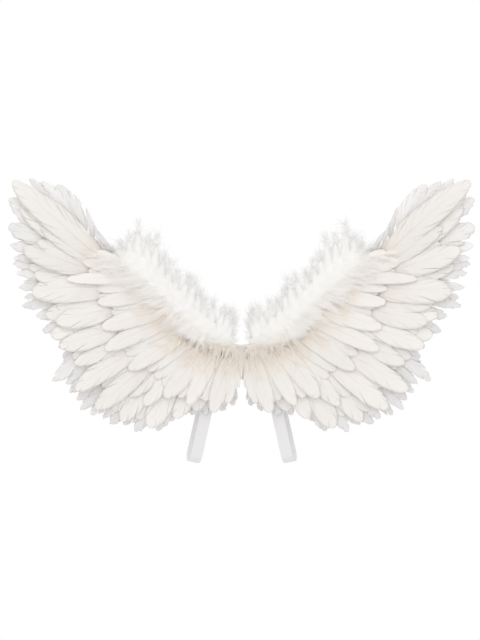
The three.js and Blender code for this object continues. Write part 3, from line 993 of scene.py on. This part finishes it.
def marabou(side_name, material, rng):
    side = SIDES[side_name]
    trim = Trim()
    locks = Locks()
    mesh = Mesh()
    add_marabou_core(mesh, trim, side, rng)
    add_veil(mesh, side, rng)
    locks.add_cores(mesh, side)
    # Each kind of hair has its radius in mm, brightness and share of painted warm shade at the root
    for lines, radius, tone, warm_shade in (
        (combed_hair(trim, rng), 0.12, 0.995, 0.08),
        (locks.coat(rng), 0.14, 0.98, 0.0),
        (locks.wisps(rng), 0.22, 0.955, 0),
        # The strays and inner curls, and the wisps a little, are darker: painted shade, for thin hairs
        # that read grey against the bright backdrop
        (locks.strays(rng), 0.23, 0.77, 0),
        (inner_curls(rng), 0.22, 0.8, 0),
        (fringe_hair(rng), 0.2, 1.01, 0.36),
    ):
        add_strands(mesh, place_all(side, lines), radius, tone, warm_shade, rng)
    return mesh.piece(f"{side_name}_marabou_down", material)


def backing(side_name, material):
    side = SIDES[side_name]
    edges = np.array(FELT_EDGES, float)
    out = np.linspace(edges[0, 0], edges[-1, 0], 61)
    top = np.interp(out, edges[:, 0], edges[:, 1])
    bottom = np.interp(out, edges[:, 0], edges[:, 2])
    share = np.linspace(0, 1, 25)
    up = bottom[:, None] + (top - bottom)[:, None] * share
    outs = np.broadcast_to(out[:, None], up.shape)
    front = place(side, outs, up, FELT_FRONT)
    back = place(side, outs, up, FELT_REAR)
    mesh = Mesh()
    uv = np.stack([outs, up], axis=-1)
    mesh.plate(front, back, uv, PLAIN_TINT, flip=side < 0)
    return mesh.piece(f"{side_name}_felt_panel", material)


def wrapped_bow(material):
    """The wire under a ribbon that is wound round it, each turn lapping the one before."""
    depth = BOW_DIAMETER / 2
    left = [place(LEFT, out, up, depth) / MM for out, up in BOW_LINE]
    right = [place(RIGHT, out, up, depth) / MM for out, up in BOW_LINE[1:]]
    line = Line([*left[::-1], *right])
    share = np.linspace(0, 1, BOW_STEPS + 1)
    centre = line.at(share)
    way = line.way(share)
    forward = np.array([0.0, -1.0, 0.0])
    above = unit(np.cross(way, forward))
    ahead = np.cross(above, way)
    angle = 2 * math.pi * np.arange(BOW_SIDES) / BOW_SIDES
    turn = (share * line.length / RIBBON_PITCH)[:, None] + (angle / (2 * math.pi))[None]
    lap = turn - np.floor(turn)
    radius = BOW_DIAMETER / 2 - RIBBON_INSET + RIBBON_LAP * lap
    angles = angle[None, :, None]
    ring = above[:, None] * np.cos(angles) + ahead[:, None] * np.sin(angles)
    rings = (centre[:, None] + ring * radius[..., None]) * MM
    mesh = Mesh()
    uv = np.stack(np.broadcast_arrays(lap, turn), axis=-1)
    ids = mesh.add_grid(rings, uv, PLAIN_TINT)
    after = np.roll(ids, -1, axis=1)
    bands = np.stack([ids[:-1], ids[1:], after[1:], after[:-1]], axis=-1)
    mesh.add_faces(bands, flip=True)
    mesh.add_faces(ids[:1, ::-1])
    mesh.add_faces(ids[-1:])
    return mesh.piece("ribbon_bow", material)


def strap_points(side, width, front_back, up):
    """Points of a strap from its own width, front to back and up, in millimetres."""
    skewed = width - STRAP_SKEW * front_back
    top_x, top_y, top_z = STRAP_TOP
    x = skewed * math.cos(STRAP_TILT) + up * math.sin(STRAP_TILT) + top_x
    z = up * math.cos(STRAP_TILT) - skewed * math.sin(STRAP_TILT) + top_z
    return np.stack(np.broadcast_arrays(-side * x, front_back + top_y, z), axis=-1) * MM


def elastic_strap(side_name, material):
    """A loop of ribbed elastic tape."""
    side = SIDES[side_name]
    radius = STRAP_DEPTH / 2 - STRAP_THICKNESS / 2
    straight = STRAP_LENGTH - STRAP_DEPTH
    arc = math.pi * radius
    far = np.linspace(0, 2 * arc + 2 * straight, STRAP_STEPS, endpoint=False)
    over_top = np.clip(far, 0, arc)
    down = np.clip(far - arc, 0, straight)
    round_foot = np.clip(far - arc - straight, 0, arc)
    back_up = np.clip(far - 2 * arc - straight, 0, straight)
    angle = (over_top + round_foot) / radius
    normal = np.stack([np.cos(angle), np.sin(angle)], axis=-1)
    path = radius * normal
    path[:, 1] += back_up - down
    across = np.linspace(-1, 1, 4 * STRAP_RIBS + 1)
    rib = RIB_HEIGHT * np.cos(across * STRAP_RIBS * math.pi) * (1 - across**8)
    half = STRAP_THICKNESS / 2 - RIB_INSET - EDGE_INSET * across**8
    outer = (half + rib)[None, :, None] * normal[:, None]
    outside = path[:, None] + outer
    inside = path[:, None] - outer
    width = np.broadcast_to(across * STRAP_WIDTH / 2, outside.shape[:2])
    section = np.concatenate([outside, inside[:, ::-1]], axis=1)
    widths = np.concatenate([width, width[:, ::-1]], axis=1)
    points = strap_points(side, widths, section[..., 0], section[..., 1])
    uv = np.stack(np.broadcast_arrays(widths, far[:, None]), axis=-1)
    mesh = Mesh()
    ids = mesh.add_grid(points, uv, PLAIN_TINT)
    mesh.add_faces(ring_bands(np.vstack([ids, ids[:1]])), flip=side < 0)
    return mesh.piece(f"{side_name}_elastic_loop", material)


class Shader:
    """A new material and the nodes that its surface reads."""

    def __init__(self, name, roughness, specular):
        self.material = bpy.data.materials.new(name)
        self.material.use_nodes = True
        self.nodes = self.material.node_tree.nodes
        self.surface = self.nodes["Principled BSDF"]
        self.set(self.surface, {"Roughness": roughness, "Specular IOR Level": specular})

    def set(self, node, inputs):
        """Sets a node's inputs, each to a value or to the output of another node."""
        for key, value in inputs.items():
            socket = node.inputs[key]
            if isinstance(value, bpy.types.NodeSocket):
                self.material.node_tree.links.new(value, socket)
            else:
                socket.default_value = (*value, 1) if socket.type == "RGBA" else value

    def add(self, kind, inputs):
        node = self.nodes.new(f"ShaderNode{kind}")
        self.set(node, inputs)
        return node

    def mix(self, share, first, second, blend="MIX"):
        """A colour between two."""
        node = self.nodes.new("ShaderNodeMix")
        node.data_type = "RGBA"
        node.blend_type = blend
        self.set(node, {0: share, 6: first, 7: second})
        return node.outputs[2]

    def streaks(self):
        """Noise drawn out along the barbs."""
        uv = self.add("UVMap", {})
        stretch = self.add("Mapping", {"Scale": BARB_STRETCH, "Vector": uv.outputs["UV"]})
        noise = self.nodes.new("ShaderNodeTexNoise")
        noise.noise_dimensions = "2D"
        place_in = stretch.outputs["Vector"]
        self.set(noise, {"Scale": 1, "Detail": 3, "Roughness": 0.6, "Vector": place_in})
        return noise.outputs["Fac"]

    def bump(self, height, strength, distance):
        bump = self.add("Bump", {"Strength": strength, "Distance": distance, "Height": height})
        self.set(self.surface, {"Normal": bump.outputs["Normal"]})

    def let_light_through(self, colour, share):
        """Mixes in light that comes through from behind."""
        through = self.add("BsdfTranslucent", {"Color": colour})
        mix = self.add("MixShader", {0: share, 1: self.surface.outputs[0], 2: through.outputs[0]})
        self.set(self.nodes["Material Output"], {"Surface": mix.outputs[0]})


def feather_material(name, colour, shade, warm_shade, streak, through, relief):
    shader = Shader(name, roughness=0.62, specular=0.25)
    tint = shader.nodes.new("ShaderNodeAttribute")
    tint.attribute_name = "tint"
    parts = shader.add("SeparateColor", {"Color": tint.outputs["Color"]}).outputs
    barbs = shader.streaks()
    lines = shader.add("MapRange", {"Value": barbs, "From Min": 0.42, "From Max": 0.72})
    share = shader.add("Math", {0: lines.outputs["Result"], 1: streak})
    share.operation = "MULTIPLY"
    base = shader.mix(share.outputs[0], colour, shade)
    # The tint's green share mixes in the painted warm shade
    base = shader.mix(parts["Green"], base, warm_shade)
    base = shader.mix(parts["Blue"], base, SHAFT_COLOUR)
    # The brightness from the tint holds the painted light by height
    brightness = shader.add("CombineColor", dict.fromkeys(range(3), parts["Red"]))
    base = shader.mix(1.0, base, brightness.outputs["Color"], "MULTIPLY")
    shader.set(shader.surface, {"Base Color": base, "Sheen Weight": 0.15})
    if relief:
        shader.bump(barbs, relief, 0.0003)
    if through:
        shader.let_light_through(WARM_GLOW, through)
    return shader.material


def cloth_material(name, colour, shade, scale, strength, distance, roughness):
    shader = Shader(name, roughness, specular=0.2)
    where = shader.add("TexCoord", {})
    noise = shader.add("TexNoise", {"Scale": scale, "Detail": 4, "Vector": where.outputs["Object"]})
    base = shader.mix(noise.outputs["Fac"], colour, shade)
    shader.set(shader.surface, {"Base Color": base})
    shader.bump(noise.outputs["Fac"], strength, distance)
    return shader.material


SHAFT_COLOUR = (0.87, 0.79, 0.66)
WARM_GLOW = (0.98, 0.95, 0.91)
BARB_STRETCH = (0.5, 0.8, 1)
BARB_RELIEF = 0.35
# The feather materials' warm colours for the roots are painted warm shade
MATERIALS = {
    # The rear row is greyer and darker than the rest: painted shade, as it lies behind the other rows
    "under_feathers": feather_material(
        "under feather", colour=(0.93, 0.918, 0.91), shade=(0.76, 0.745, 0.735),
        warm_shade=(0.89, 0.84, 0.78), streak=0.3, through=0.12, relief=BARB_RELIEF,
    ),
    "flight_feathers": feather_material(
        "flight feather", colour=(0.97, 0.946, 0.918), shade=(0.86, 0.815, 0.77),
        warm_shade=(0.88, 0.79, 0.67), streak=0.25, through=0.12, relief=BARB_RELIEF,
    ),
    "covert_feathers": feather_material(
        "covert feather", colour=(0.976, 0.95, 0.917), shade=(0.88, 0.83, 0.77),
        warm_shade=(0.88, 0.79, 0.66), streak=0.2, through=0.14, relief=BARB_RELIEF,
    ),
    "marabou": feather_material(
        "marabou", colour=(0.97, 0.962, 0.952), shade=(0.945, 0.936, 0.925),
        warm_shade=(0.95, 0.9, 0.83), streak=0.1, through=0, relief=0,
    ),
    "ribbon": cloth_material(
        "wound ribbon", colour=(0.92, 0.9, 0.86), shade=(0.87, 0.84, 0.79),
        scale=900, strength=0.3, distance=0.0002, roughness=0.6,
    ),
    "felt": cloth_material(
        "felt", colour=(0.88, 0.87, 0.85), shade=(0.8, 0.79, 0.77),
        scale=700, strength=0.6, distance=0.0006, roughness=0.95,
    ),
    "elastic": cloth_material(
        "elastic", colour=(0.832, 0.82, 0.828), shade=(0.78, 0.768, 0.776),
        scale=1200, strength=0.3, distance=0.0002, roughness=0.75,
    ),
}


def show(obj, node):
    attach(obj, "root")
    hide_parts(node)


def build_wing(side_name, rng):
    for row_name in ROWS:
        kind = "flight_feathers" if "flight" in row_name else row_name
        obj = feather_row(side_name, row_name, MATERIALS[kind], rng)
        show(obj, f"{side_name}_{row_name}")
    down = marabou(side_name, MATERIALS["marabou"], rng)
    show(down, f"{side_name}_marabou_trim")
    panel = backing(side_name, MATERIALS["felt"])
    show(panel, f"{side_name}_backing")
    loop = elastic_strap(side_name, MATERIALS["elastic"])
    show(loop, f"{side_name}_strap")


def set_stage():
    bpy.ops.mesh.primitive_circle_add(
        vertices=96, radius=FLOOR_RADIUS, fill_type="NGON", location=(0, 0, FLOOR_UP)
    )
    floor = bpy.context.object
    floor.name = "floor"
    shader = Shader("pale floor", roughness=0.9, specular=0.5)
    shader.set(shader.surface, {"Base Color": (0.9, 0.9, 0.9)})
    floor.data.materials.append(shader.material)
    world = bpy.data.worlds.new("white studio")
    world.use_nodes = True
    light = world.node_tree.nodes["Background"].inputs
    light["Color"].default_value = (1, 1, 1, 1)
    light["Strength"].default_value = 1.0
    scene = bpy.context.scene
    scene.world = world
    scene.view_settings.view_transform = "Standard"
    scene.cycles.max_bounces = 20
    scene.cycles.diffuse_bounces = 16
    scene.cycles.transmission_bounces = 16


def add_light(name, location, aim, size, power):
    light = bpy.data.lights.new(name, "AREA")
    light.shape = "DISK"
    light.size = size
    light.energy = power
    obj = bpy.data.objects.new(name, light)
    obj.location = location
    way = np.array(aim) - np.array(location)
    yaw = math.atan2(way[0], -way[1])
    pitch = math.atan2(math.hypot(way[0], way[1]), -way[2])
    obj.rotation_euler = (pitch, 0, yaw + math.pi)
    bpy.context.scene.collection.objects.link(obj)


def set_camera():
    camera = bpy.data.cameras.new("camera")
    camera.lens = LENS
    obj = bpy.data.objects.new("camera", camera)
    x, y, z = PICTURE_MIDDLE
    obj.location = (x, y - PICTURE_HEIGHT * LENS / SENSOR, z)
    obj.rotation_euler = (math.pi / 2, 0, 0)
    bpy.context.scene.collection.objects.link(obj)
    bpy.context.scene.camera = obj


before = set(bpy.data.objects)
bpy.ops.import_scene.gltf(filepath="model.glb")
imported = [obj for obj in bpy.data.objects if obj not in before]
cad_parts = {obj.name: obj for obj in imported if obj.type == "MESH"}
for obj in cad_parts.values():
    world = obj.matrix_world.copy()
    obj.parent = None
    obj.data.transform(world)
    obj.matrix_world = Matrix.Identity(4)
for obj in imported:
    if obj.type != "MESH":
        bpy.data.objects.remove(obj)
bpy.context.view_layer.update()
rng = np.random.default_rng(SEED)
show(wrapped_bow(MATERIALS["ribbon"]), "frame_bow")
for side_name in SIDES:
    build_wing(side_name, rng)
set_stage()
add_light("key", KEY_PLACE, KEY_AIM, KEY_SIZE, KEY_POWER)
set_camera()
